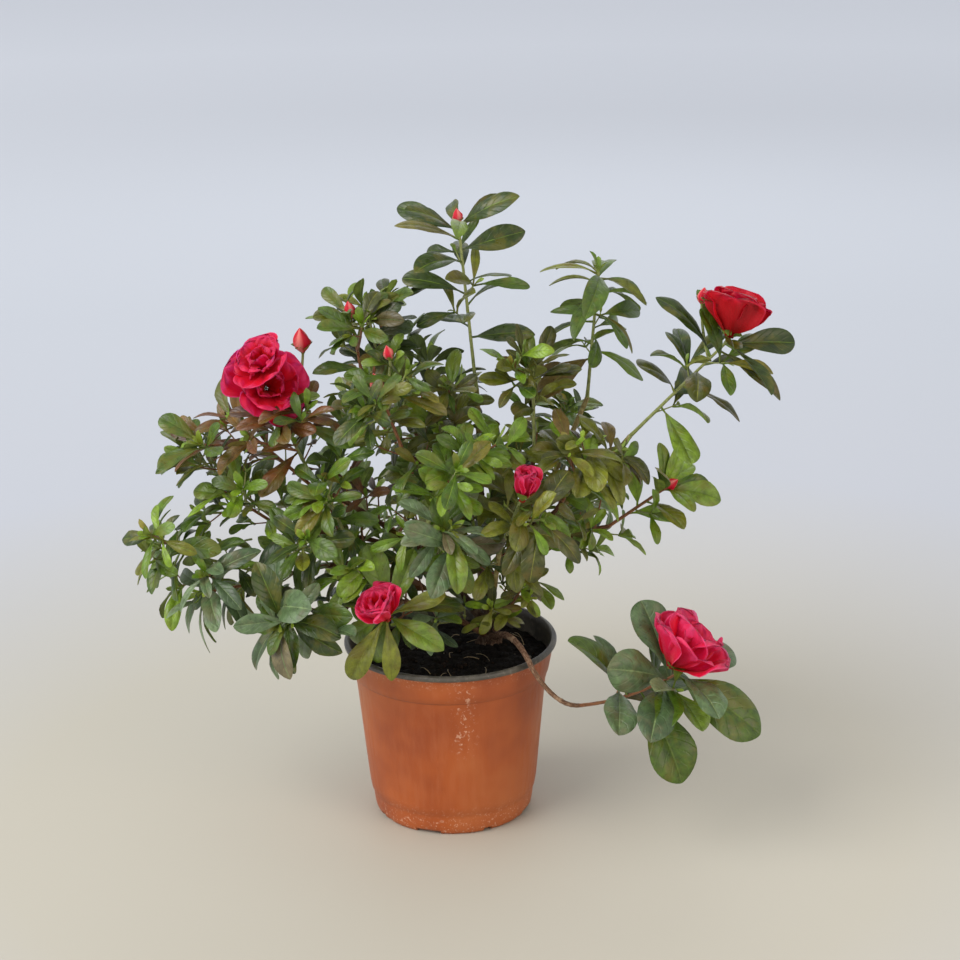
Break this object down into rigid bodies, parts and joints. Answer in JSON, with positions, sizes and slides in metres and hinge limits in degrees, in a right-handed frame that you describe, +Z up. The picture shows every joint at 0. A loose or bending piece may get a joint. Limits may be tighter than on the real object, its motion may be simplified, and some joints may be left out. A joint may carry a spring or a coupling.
{
  "type": "potted azalea shrub",
  "caption": "Small azalea shrub in a plastic nursery pot: a short forked trunk, open crown of small oval leaves, buds and double blooms, and one branch trailing over the rim.",
  "frame": {"origin": "centre of the pot's flat underside", "axes": "+Z up, -Y towards the side that the picture shows, +X to that side's right"},
  "size_m": [0.3981, 0.2798, 0.383],
  "materials": {
    "pot_plastic": "thin terracotta-coloured plastic with a soft sheen",
    "peat": "dark crumbly potting peat",
    "bark": "thin grey-brown bark",
    "leaves_fresh": "young yellow-green leaves",
    "leaves_mid": "mid-green leaves",
    "leaves_deep": "dark green leaves",
    "leaves_grey": "bluish grey-green leaves",
    "leaves_olive": "olive leaves",
    "leaves_bronze": "red-brown winter leaves"
  },
  "bodies": {
    "root": {"pot": "pot_plastic", "peat": "peat", "trunk": "bark", "centre_stem": "bark", "left_stem": "bark", "right_stem": "bark", "back_stem": "bark", "front_low_bough": "bark", "front_bud_bough": "bark", "trailing_stem": "bark", "trailing_bough": "bark", "low_left_bough": "bark", "mid_left_bough": "bark", "high_left_bough": "bark", "front_bough": "bark", "inner_left_bough": "bark", "left_crest_bough": "bark", "spire_bough": "bark", "bud_crest_bough": "bark", "right_spire_bough": "bark", "right_bloom_bough": "bark", "right_low_bough": "bark", "olive_bough": "bark", "right_heart_bough": "bark", "low_front_bough": "bark", "back_left_bough": "bark", "back_right_bough": "bark", "back_low_bough": "bark", "tall_spire": "leaves_mid", "right_spire": "leaves_mid", "right_bloom": "leaves_mid", "right_shoot": "leaves_fresh", "trailing_bloom": "leaves_grey", "left_bloom": "leaves_bronze", "left_shoulder": "leaves_bronze", "left_crest": "leaves_mid", "mid_crest": "leaves_deep", "bud_crest": "leaves_mid", "centre_top": "leaves_olive", "centre_front": "leaves_fresh", "low_centre": "leaves_grey", "olive_crest": "leaves_olive", "right_heart": "leaves_olive", "front_bud": "leaves_olive", "base_sprouts": "leaves_olive", "left_tip_high": "leaves_mid", "left_tip_mid": "leaves_fresh", "left_tip_low": "leaves_fresh", "left_hanging": "leaves_grey", "left_low_front": "leaves_grey", "left_inner": "leaves_fresh", "left_inner_low": "leaves_mid", "front_bloom": "leaves_mid", "front_fresh": "leaves_fresh", "back_left": "leaves_mid", "back_top": "leaves_deep", "back_right": "leaves_mid", "back_right_low": "leaves_mid", "back_low": "leaves_grey", "back_mid": "leaves_mid"}
  },
  "joints": []
}
